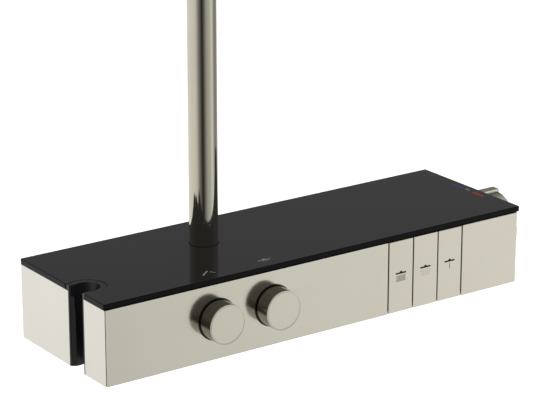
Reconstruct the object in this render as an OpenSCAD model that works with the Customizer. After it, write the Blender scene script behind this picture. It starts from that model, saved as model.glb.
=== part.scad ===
// Thermostatic shower column: a shelf mixer with a glass top, a riser pole, a swivelling arm
// and a round three-zone rain head. +X is to the right, -Y faces the user, the wall is the
// plane Y = 0, and the origin lies midway between the two wall inlets.

/* [Shelf housing] */
// Width of the metal housing
body_w = 520; // [480:5:620]
// Depth of the housing from the wall to the front face
body_d = 164; // [158:1:190]
// Height of the metal housing, without the glass
body_h = 79.5; // [76:0.5:92]
// Thickness of the glass shelf
glass_t = 6; // [4:0.5:8]
// How far the glass stands over the right end
glass_over_right = 4; // [1:0.5:4]
// How far the glass sits back from the front face
glass_setback = 1.7; // [0:0.1:3]
// Wall thickness of the outer metal panels
panel_t = 2.5; // [2:0.1:3]
// Distance of the riser pole from the left end
pole_from_left = 179; // [170:1:200]

/* [Handset holder] */
// Centre of the keyhole slot from the left end
slot_in = 12.6; // [11:0.1:14]
// Centre of the keyhole slot from the front face
slot_from_front = 54.8; // [52:0.5:60]
// Radius of the round cut-out in the glass
slot_r = 20.2; // [19:0.1:22]
// Radius of the conical seat at its top
seat_top_r = 13.8; // [12.5:0.1:14.5]
// Radius of the conical seat at its bottom
seat_bottom_r = 10.2; // [9:0.1:11.5]

/* [Front controls] */
// Outside diameter of the two volume knobs
knob_d = 42; // [38:1:44]
// How far the knob faces stand in front of the panel
knob_out = 19; // [16:0.5:24]
// Distance of the hand shower knob from the left end
hand_knob_from_left = 129.6; // [126:0.5:132]
// Distance of the rain head knob from the left end
head_knob_from_left = 197.6; // [194:0.5:200]
// Height of the knob axes above the housing's middle
knob_z = 2.9; // [0:0.1:4]
// Distance of the first button gap from the left end
buttons_from_left = 344.8; // [340:0.2:350]
// Spacing of the three spray buttons
button_pitch = 32.8; // [31:0.1:36]
// Width of the dark gap beside a button
button_gap = 1.2; // [0.8:0.1:2]
// Travel of a button from its rest position
button_travel = 3; // [2:0.5:4]

/* [Thermostat] */
// Diameter of the temperature knob
temp_knob_d = 77; // [66:1:77]
// Length of the temperature knob
temp_knob_l = 32.5; // [26:0.5:40]
// Distance of the temperature knob's axis from the front face
temp_from_front = 76; // [72:1:82]

/* [Inlets and outlet] */
// Distance between the two wall inlets
inlet_pitch = 150; // [140:1:160]
// Outside diameter of the supply pipes
pipe_od = 14; // [12:0.5:15]
// Wall thickness of the supply pipes
pipe_wall = 1.2; // [1:0.1:2]
// Thread radius of the hose outlet
outlet_r = 10.4; // [10:0.1:11]

/* [Riser and arm] */
// Diameter of the riser pole
pole_d = 30; // [26:0.5:32]
// Wall thickness of the riser pole
pole_wall = 1.5; // [1.2:0.1:2]
// Distance of the riser pole's axis from the wall
pole_off = 65.9; // [62:0.5:72]
// Height of the arm's axis above the inlets
arm_z = 1072; // [900:5:1200]
// How far the upper wall bracket sits below the arm
bracket_drop = 142; // [60:2:300]
// Reach of the rain head from the riser's axis
arm_reach = 380; // [340:5:450]
// Diameter of the arm
arm_d = 25; // [24:0.5:28]
// Bend radius of the arm at the rain head
arm_bend = 42; // [38:1:60]

/* [Rain head] */
// Diameter of the rain head
head_d = 260; // [250:5:320]
// Thickness of the rain head's rim
head_t = 11; // [10:0.5:16]
// Radius of a spray nozzle
nozzle_r = 1.5; // [1.2:0.1:1.8]

/* [Hidden] */
$fn = 96;

// shared clearances
fit = 0.05;          // radial clearance of a turning or sliding fit
gap = 0.3;           // clearance between neighbours that don't touch
cut = 1;             // how far a cutting tool runs past a face

// housing
x_left = -pole_from_left;
x_right = x_left + body_w;
y_front = -body_d;
z_low = -body_h / 2;
z_top = body_h / 2;
z_glass = z_top + glass_t;
panel_in = panel_t + 0.1;      // inner face of a panel, with its fitting gap
mitre = 0.35;                  // open mitre at the housing's corners
cover_t = 2;
deck_t = 3;
z_deck = z_top - deck_t;
wall_gap = 0.5;                // the housing stops just short of the wall

// handset slot
slot_x = x_left + slot_in;
slot_y = y_front + slot_from_front;
lip_r = slot_r - gap;
mouth_half = 14.6;             // half width of the slot in the left panel
glass_mouth_half = 17.8;
seat_mouth = seat_bottom_r - 0.4;   // half width of the mouth
lip_mouth = 12.3;
holder_r = 17;
strip_w = 1.8;                 // strip of the holder that shows beside the left panels

// front controls
hand_x = x_left + hand_knob_from_left;
head_x = x_left + head_knob_from_left;
knob_r = knob_d / 2;
ring_r = knob_r + 1.3;
ring_t = 0.6;
panel_hole_r = 16;             // hole in the front panel behind a knob
knob_seam = 0.4;
spindle_r = 4;
cartridge_r = 12;
bonnet_r = 10;
disc_r = 8.7;                  // moving ceramic disc
disc_y = [4, 9];               // its cavity behind the front of the valve block
disc_port_r = 2.5;             // water port through the discs
block_front = y_front + 24;
buttons_x = x_left + buttons_from_left;
button_w = button_pitch - button_gap;
button_h = body_h - 0.6;
button_deep = 9;
boss_r = 7;
plunger_r = 3.5;
select_front = y_front + 24;
select_deep = 34;
select_r = 10.5;
select_bore = 3;
select_half = 17;              // half height of the selector block
select_cavity = 26;            // depth of a selector cartridge
select_out = 20;               // depth of its outlet

// thermostat
temp_y = y_front + temp_from_front;
temp_r = temp_knob_d / 2;
temp_x = x_right + 1.5;
temp_end = temp_x + temp_knob_l;
body_x0 = x_right - 67;
body_x1 = x_right - 10;
temp_body_r = 22;
temp_bore_r = 16;
cold_port_x = x_right - 53;
hot_port_x = x_right - 29;
temp_spindle_r = 5;
rib_w = 10;
rib_h = 2.8;

// water ways
inlet_x = inlet_pitch / 2;
nut_r = 17.3;
nut_bore_r = 12.06;
nut_y0 = -4;
nut_l = 14;
nut_lip = 3;
thread_l = 7;                  // threaded depth of an inlet nut
stub_r = 9.5;
pipe_y = -30;
hot_z = 18;
cold_z = -18;
mixed_z = -16;
small_od = 12;
small_wall = 1;
line_od = 8;
line_wall = 1;
lines_z = -31;
line_step = 10.2;              // spacing of the three lines under the riser
outlet_x = x_left + 59;
outlet_y = -70;
outlet_len = 12;
outlet_flange = 2;             // flange left showing below the cover

// riser and arm
pole_r = pole_d / 2;
pole_y = -pole_off;
pole_bore = pole_r - pole_wall;
socket_r = pole_r + 6;
socket_low = -14;
pole_low = -6;
arm_r = arm_d / 2;
arm_wall = 1.5;
bracket_z = arm_z - bracket_drop;
spigot_r = arm_r + 1.5;        // spigot of the rain head, as wide as the arm's collar
core_r = 11;
hub_r = 17;
hub_low = arm_z - 21;
hub_top = arm_z + 22;
pole_top = hub_low - gap;
channel = 7;                   // height between two water channels
seal_t = 1.9;
arm_line_od = 6;
head_y = pole_y - arm_reach;
arm_end = arm_z - arm_bend - 14;
clamp_r = pole_r + 6;
clamp_h = 24;

// rain head
head_r = head_d / 2;
shell_t = 2;
head_top = arm_end - 20;
head_low = head_top - head_t;
plate_t = 3;
plate_r = head_r - shell_t - gap;
// spray zones: [ring radius, holes]
ZONES = [[12, 6], [24, 10], [44, 14], [64, 20], [86, 26], [108, 32]];

steel = "silver";
nickel = "tan";
brass = "goldenrod";
black = "dimgray";

// ---- helpers ----
// rod between two points
module rod(a, b, r) {
    v = b - a;
    len = norm(v);
    translate(a)
        rotate([0, acos(v[2] / len), atan2(v[1], v[0])])
            cylinder(r = r, h = len);
}

// rods joined by ball corners, each a touch fatter than the rods, like a brazed elbow
ball = 0.15;
module run(points, r) {
    for (i = [0 : len(points) - 2]) rod(points[i], points[i + 1], r);
    if (len(points) > 2)
        for (i = [1 : len(points) - 2]) translate(points[i]) sphere(r = r + ball, $fn = 48);
}

// pipe along a row of points, open at both ends
module pipe(points, od, wall) {
    n = len(points) - 1;
    first = points[0] + cut * (points[0] - points[1]) / norm(points[0] - points[1]);
    last = points[n] + cut * (points[n] - points[n - 1]) / norm(points[n] - points[n - 1]);
    mid = n > 1 ? [for (i = [1 : n - 1]) points[i]] : [];
    difference() {
        run(points, od / 2);
        run(concat([first], mid, [last]), od / 2 - wall);
    }
}

// cylinder along Y from y0 to y1
module y_rod(x, z, r, y0, y1) {
    translate([x, y1, z]) rotate([90, 0, 0]) cylinder(r = r, h = y1 - y0);
}

// cylinder along X from x0 to x1
module x_rod(y, z, r, x0, x1) {
    translate([x0, y, z]) rotate([0, 90, 0]) cylinder(r = r, h = x1 - x0);
}

module box(x0, x1, y0, y1, z0, z1) {
    translate([x0, y0, z0]) cube([x1 - x0, y1 - y0, z1 - z0]);
}

// countersunk screw, head down, its head's face at the origin
module screw_up(r, length, head_r, head_t) {
    cylinder(r1 = head_r, r2 = r, h = head_t);
    cylinder(r = r, h = length);
}

// round ring with a square section
module ring(r_out, r_in, h) {
    difference() {
        cylinder(r = r_out, h = h);
        translate([0, 0, -cut]) cylinder(r = r_in, h = h + 2 * cut);
    }
}

// ---- housing ----
inlets = [-inlet_x, inlet_x];
wall_holes_x = inlet_x + 37;
wall_holes_z = 22;
wall_hole_r = 3.2;
fix_x = 40;
fix_z = 26;
fix_r = 2.5;
plate_t_wall = 3;
inlet_hole_r = 19;
back_t = 3.5;

module wall_plate() color(steel) difference() {
    box(-inlet_x - 55, inlet_x + 55, -plate_t_wall, 0, -32, 32);
    for (x = inlets) y_rod(x, 0, inlet_hole_r, -plate_t_wall - cut, cut);
    for (x = [-wall_holes_x, wall_holes_x], z = [-wall_holes_z, wall_holes_z])
        y_rod(x, z, wall_hole_r, -plate_t_wall - cut, cut);
    for (x = [-fix_x, fix_x]) y_rod(x, -fix_z, fix_r, -plate_t_wall - cut, cut);
}

// posts that carry the bottom cover: [x, y]
posts = [[x_left + 79, y_front + 14], [x_left + 39, -25], [x_left + 279, y_front + 14],
    [x_right - 16, y_front + 14], [x_right - 12, -14]];
post_r = 4;
cover_screw_r = 2;
hang_r = 6;
boss_low = z_deck - 10.75;     // boss that steadies the riser socket

// keyhole outline: a circle with a straight mouth that runs out at x = x0
module slot_prism(half, r, z0, z1, x0 = x_left - 5) {
    translate([0, 0, z0]) linear_extrude(z1 - z0) {
        translate([slot_x, slot_y]) circle(r = r);
        translate([x0, slot_y - half]) square([slot_x - x0, 2 * half]);
    }
}

pad_r = 5;
pad_seat = 1.5;
pads_x = [x_left + 60, x_left + 330, x_right - 25];
pads_y = [y_front + 12, -12];

// room for the three buttons and their travel
module button_bay(z0, z1)
    box(buttons_x - button_gap, buttons_x + 3 * button_pitch + button_gap, y_front - cut,
        y_front + button_deep + button_travel + 1, z0, z1);

module chassis() color(steel) difference() {
    union() {
        box(x_left + panel_in, x_right - panel_in, y_front + panel_in, -wall_gap, z_deck, z_top);
        box(x_left + panel_in, x_right - panel_in, -plate_t_wall - back_t, -plate_t_wall,
            z_low + cover_t + gap, z_deck);
        box(x_left + 30, buttons_x - 4, y_front + panel_in, y_front + panel_in + 2, z_deck - 9, z_deck);
        for (p = posts) translate([p[0], p[1], z_low + cover_t])
            cylinder(r = post_r, h = z_deck - z_low - cover_t);
        // hangers of the valve block, the selector block and the thermostat body
        for (x = [hand_x, head_x]) translate([x, block_front + 16, knob_z + block_half])
            cylinder(r = hang_r, h = z_deck - knob_z - block_half);
        for (x = [0.5, 2.5]) translate([buttons_x + x * button_pitch, select_front + 24, select_half])
            cylinder(r = hang_r, h = z_deck - select_half);
        translate([(body_x0 + body_x1) / 2, temp_y, temp_body_r - 1]) difference() {
            cylinder(r = hang_r, h = z_deck - temp_body_r + 1);
            translate([0, 0, 1 - temp_body_r]) rotate([0, 90, 0])
                cylinder(r = temp_body_r, h = 40, center = true);
        }
        translate([0, pole_y, boss_low]) cylinder(r = socket_r + 4, h = z_deck - boss_low);
    }
    slot_prism(mouth_half + gap, slot_r + gap, z_low, z_top + cut);
    translate([0, pole_y, z_low]) cylinder(r = socket_r + fit, h = body_h + cut);
    for (x = inlets) y_rod(x, 0, inlet_hole_r + 1, -10, cut);
    for (x = [-wall_holes_x, wall_holes_x], z = [-wall_holes_z, wall_holes_z])
        y_rod(x, z, 8, -10, -plate_t_wall + cut);
    for (x = [-fix_x, fix_x]) y_rod(x, -fix_z, fix_r, -10, -plate_t_wall + cut);
    for (p = posts) translate([p[0], p[1], z_low]) cylinder(r = cover_screw_r, h = cover_t + 10);
    button_bay(z_deck - 10, z_top + cut);
    for (x = pads_x, y = pads_y) translate([x, y, z_deck + pad_seat]) cylinder(r = pad_r, h = deck_t);
}

module plate_screws() color(steel)
    for (x = [-fix_x, fix_x]) {
        y_rod(x, -fix_z, fix_r, -plate_t_wall - back_t, -0.2);
        difference() {
            y_rod(x, -fix_z, 4.5, -plate_t_wall - back_t - 3.5, -plate_t_wall - back_t);
            translate([x, -plate_t_wall - back_t - 1.5, -fix_z]) rotate([90, 0, 0])
                cylinder(r = 2, h = 4, $fn = 6);
        }
    }

module glass_shelf() color([0.08, 0.08, 0.09]) difference() {
    box(x_left - 0.3, x_right + glass_over_right, y_front + glass_setback, -wall_gap, z_top, z_glass);
    slot_prism(glass_mouth_half, slot_r, z_top - cut, z_glass + cut);
    // rounded mouth corners
    for (s = [-1, 1]) translate([x_left - 0.3 - cut, slot_y + s * glass_mouth_half, z_top - cut])
        difference() {
            translate([0, s > 0 ? -cut : -2.5, 0]) cube([2.5 + cut, 2.5 + cut, glass_t + 2 * cut]);
            translate([2.5 + cut, s * 2.5, -cut]) cylinder(r = 2.5, h = glass_t + 4 * cut);
        }
    translate([0, pole_y, z_top - cut]) cylinder(r = pole_r + 0.5, h = glass_t + 2 * cut);
}

// rubber discs let into the deck, which cushion the glass
module glass_pads() color(black)
    for (x = pads_x, y = pads_y)
        translate([x, y, z_deck + pad_seat]) cylinder(r = pad_r - fit, h = deck_t - pad_seat);

module handset_holder() color([0.1, 0.1, 0.1]) difference() {
    union() {
        intersection() {
            slot_prism(glass_mouth_half - gap, lip_r, z_top, z_glass - 0.3, x_left);
            box(x_left, slot_x + slot_r, slot_y - 30, slot_y + 30, z_top, z_glass);
        }
        intersection() {
            slot_prism(mouth_half, holder_r, z_low, z_top + 1, x_left + 0.1);
            box(x_left + 0.1, slot_x + slot_r, slot_y - 30, slot_y + 30, z_low, z_top + 1);
        }
    }
    // conical seat, then its straight mouth, which flares at the panel
    translate([slot_x, slot_y, z_low - cut])
        cylinder(r1 = seat_bottom_r, r2 = seat_top_r, h = body_h + glass_t + 2 * cut);
    translate([0, 0, z_low - 2 * cut]) linear_extrude(body_h + glass_t + 4 * cut)
        polygon([[x_left - 3, slot_y - mouth_half + strip_w], [x_left + 1, slot_y - mouth_half + strip_w],
            [x_left + 5, slot_y - seat_mouth], [slot_x, slot_y - seat_mouth],
            [slot_x, slot_y + seat_mouth], [x_left + 5, slot_y + seat_mouth],
            [x_left + 1, slot_y + mouth_half - strip_w], [x_left - 3, slot_y + mouth_half - strip_w]]);
    // wider mouth in the lip
    box(x_left - 4, slot_x, slot_y - lip_mouth, slot_y + lip_mouth, z_top - 6, z_glass + 3);
}

// panel along X, mitred at its outer end; s = -1 for the left end, 1 for the right one
module front_strip(x_outer, x_inner, s) {
    translate([0, 0, z_low]) linear_extrude(body_h)
        polygon([[x_outer - s * mitre, y_front], [x_inner, y_front], [x_inner, y_front + panel_t],
            [x_outer - s * (panel_t + mitre), y_front + panel_t]]);
}

module front_panel() color(nickel) difference() {
    front_strip(x_left, buttons_x - button_gap / 2, -1);
    for (x = [hand_x, head_x]) y_rod(x, knob_z, panel_hole_r, y_front - cut, y_front + panel_t + cut);
}

module front_panel_right() color(nickel)
    front_strip(x_right, buttons_x + 3 * button_pitch + button_gap / 2, 1);

module end_strip(x_outer, s, y0, y1) {
    translate([0, 0, z_low]) linear_extrude(body_h)
        polygon(y0 <= y_front + cut
            ? [[x_outer, y_front + mitre], [x_outer, y1], [x_outer - s * panel_t, y1],
                [x_outer - s * panel_t, y_front + panel_t + mitre]]
            : [[x_outer, y0], [x_outer, y1], [x_outer - s * panel_t, y1], [x_outer - s * panel_t, y0]]);
}

module left_panel_front() color(nickel)
    end_strip(x_left, -1, y_front, slot_y - mouth_half - 0.1);

module left_panel_rear() color(nickel)
    end_strip(x_left, -1, slot_y + mouth_half + 0.1, -wall_gap);

module right_panel() color(nickel) difference() {
    end_strip(x_right, 1, y_front, -wall_gap);
    x_rod(temp_y, 0, temp_body_r + 2, x_right - 10, x_right + 10);
}

module bottom_cover() color(nickel) difference() {
    box(x_left + panel_in, x_right - panel_in, y_front + panel_in, -wall_gap, z_low, z_low + cover_t);
    slot_prism(mouth_half + gap, holder_r + gap, z_low - cut, z_low + cover_t + cut);
    button_bay(z_low - cut, z_low + cover_t + cut);
    translate([outlet_x, outlet_y, z_low - cut]) cylinder(r = outlet_r + 2.9, h = cover_t + 2 * cut);
    for (p = posts) translate([p[0], p[1], z_low]) cylinder(r1 = 4, r2 = cover_screw_r, h = cover_t);
}

module cover_screws() color(steel)
    for (p = posts) translate([p[0], p[1], z_low]) difference() {
        screw_up(cover_screw_r, cover_t + 9, 4, cover_t);
        translate([0, 0, -0.1]) cylinder(r = 1.3, h = 1.3, $fn = 6);
    }

guide_y = y_front + button_deep + button_travel + 2;
guide_t = 4;
module button_guide() color(black) difference() {
    box(buttons_x - 3, buttons_x + 3 * button_pitch + 3, guide_y, guide_y + guide_t, -24, z_deck);
    for (i = [0 : 2]) y_rod(buttons_x + (i + 0.5) * button_pitch, 0, boss_r + fit,
        guide_y - cut, guide_y + guide_t + cut);
}

// ---- inlets and pipes ----
module inlet_nuts() color(brass)
    for (x = inlets) difference() {
        y_rod_hex(x, nut_r, nut_y0 - nut_l, nut_y0);
        y_rod(x, 0, nut_bore_r, nut_y0 - thread_l, nut_y0 + cut);
        y_rod(x, 0, nut_bore_r + 0.4, nut_y0 - nut_l + nut_lip, nut_y0 - thread_l);
        y_rod(x, 0, stub_r + gap, nut_y0 - nut_l - cut, nut_y0);
    }

module y_rod_hex(x, r, y0, y1) {
    translate([x, y1, 0]) rotate([90, 0, 0]) cylinder(r = r, h = y1 - y0, $fn = 6);
}

collar_y = nut_y0 - nut_l + nut_lip;
module inlet_filters() color(steel)
    for (x = inlets) translate([x, collar_y + 4, 0]) rotate([90, 0, 0]) ring(nut_bore_r - 0.3, 5, 1.5);

module check_valves() color(black)
    for (x = inlets) translate([x, collar_y, 0]) rotate([90, 0, 0])
        ring(pipe_od / 2 - pipe_wall - fit, 2.2, 9);

module inlet_stub(x) {
    y_rod(x, 0, nut_bore_r - 0.4, collar_y, collar_y + 2.5);
    y_rod(x, 0, stub_r, collar_y - 8, collar_y);
}

module hot_pipe() color(brass) difference() {
    union() {
        run([[-inlet_x, collar_y, 0], [-inlet_x, pipe_y, 0], [-inlet_x, pipe_y, hot_z],
            [hot_port_x, pipe_y, hot_z], [hot_port_x, pipe_y, 0], [hot_port_x, temp_y + 32, 0]], pipe_od / 2);
        inlet_stub(-inlet_x);
    }
    run([[-inlet_x, 0, 0], [-inlet_x, pipe_y, 0], [-inlet_x, pipe_y, hot_z],
        [hot_port_x, pipe_y, hot_z], [hot_port_x, pipe_y, 0], [hot_port_x, temp_y, 0]],
        pipe_od / 2 - pipe_wall);
}

module cold_pipe() color(brass) difference() {
    union() {
        run([[inlet_x, collar_y, 0], [inlet_x, pipe_y, 0], [inlet_x, pipe_y, cold_z],
            [cold_port_x, pipe_y, cold_z], [cold_port_x, pipe_y, 0], [cold_port_x, temp_y + 32, 0]],
            pipe_od / 2);
        inlet_stub(inlet_x);
    }
    run([[inlet_x, 0, 0], [inlet_x, pipe_y, 0], [inlet_x, pipe_y, cold_z],
        [cold_port_x, pipe_y, cold_z], [cold_port_x, pipe_y, 0], [cold_port_x, temp_y, 0]],
        pipe_od / 2 - pipe_wall);
}

module thermostat_body() color(brass) difference() {
    union() {
        x_rod(temp_y, 0, temp_body_r, body_x0, body_x1);
        for (x = [cold_port_x, hot_port_x]) y_rod(x, 0, 10, temp_y, temp_y + 38);
    }
    x_rod(temp_y, 0, temp_bore_r, body_x0 + 8, body_x1 + cut);
    x_rod(temp_y, 0, pipe_od / 2 - pipe_wall, body_x0 - cut, body_x0 + 10);
    for (x = [cold_port_x, hot_port_x]) {
        y_rod(x, 0, pipe_od / 2 - pipe_wall, temp_y, temp_y + 40);
        y_rod(x, 0, pipe_od / 2, temp_y + 32, temp_y + 40);
    }
}

// cartridge sleeve with inlet windows, and its bonnet
module thermostat_cartridge() color(black) difference() {
    union() {
        x_rod(temp_y, 0, temp_bore_r, body_x0 + 10, body_x1);
        x_rod(temp_y, 0, temp_bore_r - 4, body_x1, x_right - 1);
    }
    x_rod(temp_y, 0, temp_spindle_r + fit, x_right - 26, x_right + cut);
    x_rod(temp_y, 0, temp_bore_r - 6, body_x0 + 8, x_right - 30);
    for (x = [cold_port_x, hot_port_x]) translate([x, temp_y, 0]) rotate([0, 90, 0])
        difference() {
            cylinder(r = temp_bore_r + 1, h = 8, center = true);
            cylinder(r = temp_bore_r - 2.5, h = 9, center = true);
        }
    for (x = [cold_port_x, hot_port_x]) y_rod(x, 0, 3, temp_y, temp_y + 20);
}

module stop_ring() color(black) translate([x_right - 6, temp_y, 0]) rotate([0, 90, 0])
    difference() {
        union() {
            cylinder(r = temp_bore_r + 3, h = 4);
            translate([-temp_bore_r - 4, -3, 0]) cube([4, 6, 4]);
        }
        translate([0, 0, -cut]) cylinder(r = temp_bore_r - 4, h = 4 + 2 * cut);
    }

block_right = head_x + 27;
block_left = hand_x - 27;
block_deep = 32;
block_half = 20;               // half height of the valve block
outlet_in = 9;                 // depth of an outlet behind the front of its block
feed_x = block_right + 18;
feed_y = block_front + 22;
module mixed_pipe() color(brass)
    pipe([[body_x0, temp_y, 0], [body_x0 - 10, temp_y, 0], [body_x0 - 10, temp_y, mixed_z],
        [feed_x, temp_y, mixed_z], [feed_x, temp_y, 0], [feed_x, feed_y, 0], [block_right, feed_y, 0]],
        pipe_od, pipe_wall);

cavity_deep = 18;
module valve_block() color(brass) difference() {
    box(block_left, block_right, block_front, block_front + block_deep,
        knob_z - block_half, knob_z + block_half);
    for (x = [hand_x, head_x]) {
        y_rod(x, knob_z, cartridge_r, block_front - cut, block_front + cavity_deep);
        translate([x, block_front + outlet_in, knob_z - block_half - cut]) cylinder(r = 4.5, h = 14);
    }
    x_rod(feed_y, 0, 5, hand_x - 6, block_right + cut);
}

// ceramic disc cartridge: sleeve, bonnet and side outlet
module cartridge(x) difference() {
    union() {
        y_rod(x, knob_z, cartridge_r, block_front, block_front + cavity_deep);
        y_rod(x, knob_z, bonnet_r, y_front + 5, block_front);
    }
    y_rod(x, knob_z, spindle_r + fit, y_front, block_front + disc_y[0]);
    y_rod(x, knob_z, disc_r + gap, block_front + disc_y[0], block_front + disc_y[1]);
    y_rod(x, knob_z, 8, block_front + 12, block_front + cavity_deep + cut);
    y_rod(x + 4, knob_z, disc_port_r, block_front + disc_y[1] - cut, block_front + 14);
    translate([x, block_front + outlet_in, knob_z - cartridge_r - cut]) cylinder(r = 3, h = 9);
}

module hand_cartridge() color(steel) cartridge(hand_x);
module head_cartridge() color(steel) cartridge(head_x);

// black slide rings between the knobs and the panel
module knob_rings() color([0.05, 0.05, 0.05])
    for (x = [hand_x, head_x]) translate([x, y_front, knob_z]) rotate([90, 0, 0]) {
        ring(ring_r, bonnet_r + gap, ring_t);
        translate([0, 0, -panel_t]) ring(panel_hole_r - fit, bonnet_r + 2.5, panel_t);
    }

hand_z = -27;
module hand_pipe() color(steel)
    pipe([[hand_x, block_front + outlet_in, knob_z - block_half], [hand_x, block_front + outlet_in, hand_z],
        [hand_x, outlet_y, hand_z], [outlet_x + 8, outlet_y, hand_z]], small_od, small_wall);

module hose_outlet() color(brass) translate([outlet_x, outlet_y, 0]) difference() {
    union() {
        translate([0, 0, z_low - outlet_len]) cylinder(r = outlet_r, h = outlet_len);
        translate([0, 0, z_low - outlet_flange]) cylinder(r = outlet_r + 2.6, h = 22);
        x_rod(0, hand_z, small_od / 2 + 2, 0, 16);
    }
    translate([0, 0, z_low - outlet_len - cut]) cylinder(r = 6, h = outlet_len + cover_t + 12);
    x_rod(0, hand_z, small_od / 2, 8, 18);
    x_rod(0, hand_z, small_od / 2 - small_wall, 0, 18);
}

select_back = select_front + select_deep;
gallery_z = -8;
gallery_r = 4;
head_pipe_z = -28;
select_left = buttons_x - 5;
module head_pipe() color(steel)
    pipe([[head_x, block_front + outlet_in, knob_z - block_half],
        [head_x, block_front + outlet_in, head_pipe_z],
        [select_left - 14, block_front + outlet_in, head_pipe_z],
        [select_left - 14, block_front + outlet_in, gallery_z],
        [select_left, block_front + outlet_in, gallery_z]], small_od, small_wall);

module select_block() color(brass) difference() {
    box(select_left, buttons_x + 3 * button_pitch + 2, select_front, select_back, -select_half, select_half);
    for (i = [0 : 2]) {
        x = buttons_x + (i + 0.5) * button_pitch;
        y_rod(x, 0, select_r, select_front - cut, select_front + select_cavity);
        translate([x, select_front + select_out, -select_half - cut]) cylinder(r = select_bore, h = 10);
    }
    x_rod(block_front + outlet_in, gallery_z, gallery_r, select_left - cut, buttons_x + 3 * button_pitch - 8);
}

module select_cartridges() color(black)
    for (i = [0 : 2]) {
        x = buttons_x + (i + 0.5) * button_pitch;
        difference() {
            y_rod(x, 0, select_r, select_front, select_front + select_cavity);
            y_rod(x, 0, plunger_r + fit, select_front - cut, select_front + 10);
            y_rod(x, 0, 6, select_front + 10, select_front + select_cavity + cut);
            translate([x, select_front + select_out, -select_r - cut]) cylinder(r = 2.5, h = 9);
            x_rod(block_front + outlet_in, gallery_z, gallery_r, x - 15, x + 15);
        }
    }

// coils round the button plungers, drawn as stacked turns at their pressed length
spring_turns = 4;
spring_step = 0.8;
spring_r = 5.2;
wire_r = 0.35;
module button_springs() color(steel)
    for (i = [0 : 2], k = [0 : spring_turns - 1])
        translate([buttons_x + (i + 0.5) * button_pitch, select_front - wire_r - spring_step * k, 0])
            rotate([90, 0, 0]) rotate_extrude() translate([spring_r, 0]) circle(r = wire_r, $fn = 16);

// three spray lines: selector block, under the riser, then up inside it
line_y = [for (i = [0 : 2]) pole_y - line_step / 3 + (i - 1) * line_step];
line_up = [[-6, pole_y - 4.2], [6, pole_y - 4.2], [0, pole_y + 6.2]];
core_low = arm_z - 56;
module spray_lines() color("white")
    for (i = [0 : 2]) {
        x = buttons_x + (i + 0.5) * button_pitch;
        u = line_up[i];
        pipe(concat([[x, select_front + select_out, -select_half], [x, select_front + select_out, lines_z],
            [x, line_y[i], lines_z], [u[0], line_y[i], lines_z]],
            abs(line_y[i] - u[1]) > 0.5 ? [[u[0], u[1], lines_z]] : [],
            [[u[0], u[1], core_low]]), line_od, line_wall);
    }

// ---- riser ----
module riser_socket() color(brass) translate([0, pole_y, 0]) difference() {
    translate([0, 0, socket_low]) cylinder(r = socket_r, h = z_top - socket_low);
    translate([0, 0, pole_low]) cylinder(r = pole_r, h = body_h);
    translate([0, 0, 6]) cylinder(r = pole_r + 2, h = 3);
    translate([0, 0, 20]) cylinder(r = pole_r + 2, h = 3);
    for (u = line_up) translate([u[0], u[1] - pole_y, socket_low - cut])
        cylinder(r = line_od / 2, h = 20);
}

module riser_seals() color(black) translate([0, pole_y, 0])
    for (z = [6, 20]) translate([0, 0, z]) ring(pole_r + 2, pole_r, 3);

module riser_pipe() color(nickel) translate([0, pole_y, pole_low])
    ring(pole_r, pole_bore, pole_top - pole_low);

base_t = 6;
bracket_holes = 34;
bracket_r = 30;
module bracket_base() color(steel) translate([0, 0, bracket_z]) difference() {
    y_rod(0, 0, bracket_r - 3, -base_t, 0);
    for (z = [-1, 1]) y_rod(0, z * bracket_holes / 2, 2.75, -base_t - cut, cut);
}

module bracket_cover() color(nickel) translate([0, 0, bracket_z]) difference() {
    y_rod(0, 0, bracket_r, -base_t - 3, -0.2);
    y_rod(0, 0, bracket_r - 3 + fit, -base_t, cut);
    for (z = [-1, 1]) y_rod(0, z * bracket_holes / 2, 5.5, -base_t - 3 - cut, 0);
    y_rod(0, 0, 9, -base_t - 4, 0);
}

module bracket_arm() color(nickel) translate([0, 0, bracket_z]) difference() {
    union() {
        y_rod(0, 0, 9, pole_y, -base_t);
        translate([0, pole_y, -clamp_h / 2]) cylinder(r = clamp_r, h = clamp_h);
    }
    translate([0, pole_y, -clamp_h / 2 - cut]) cylinder(r = pole_r, h = clamp_h + 2 * cut);
}

// ---- swivel between the riser and the arm ----
groove = 1.4;
module swivel_core() color(brass) translate([0, pole_y, 0]) difference() {
    union() {
        translate([0, 0, core_low]) cylinder(r = pole_bore, h = pole_top - core_low);
        translate([0, 0, pole_top - cut]) cylinder(r = core_r, h = arm_z + 15 - pole_top + cut);
    }
    for (i = [0 : 2]) {
        z = arm_z + (i - 1) * channel;
        translate([0, 0, z - 1.75]) ring(core_r + cut, core_r - groove, 3.5);
        u = [line_up[i][0], line_up[i][1] - pole_y];
        translate([u[0], u[1], core_low - cut]) cylinder(r = 2.2, h = z - core_low + cut);
        rod([u[0], u[1], z], [u[0] * 2, u[1] * 2, z], 1.6);
    }
    for (i = [0 : 3]) translate([0, 0, arm_z + (i - 1.5) * channel - seal_t / 2])
        ring(core_r + cut, core_r - groove, seal_t);
}

module swivel_seals() color(black) translate([0, pole_y, 0])
    for (i = [0 : 3]) translate([0, 0, arm_z + (i - 1.5) * channel - seal_t / 2])
        ring(core_r, core_r - groove, seal_t);

// tube that leaves the hub along -Y and bends down over the head
module arm_tube(bend, r, y0, z_end) {
    turn_y = head_y + arm_bend;
    y_rod(0, arm_z + bend - arm_bend, r, turn_y, y0);
    translate([0, turn_y, arm_z - arm_bend]) rotate([90, 0, -90]) rotate_extrude(angle = 90)
        translate([bend, 0]) circle(r = r);
    translate([0, turn_y - bend, z_end]) cylinder(r = r, h = arm_z - arm_bend - z_end);
}

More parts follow.
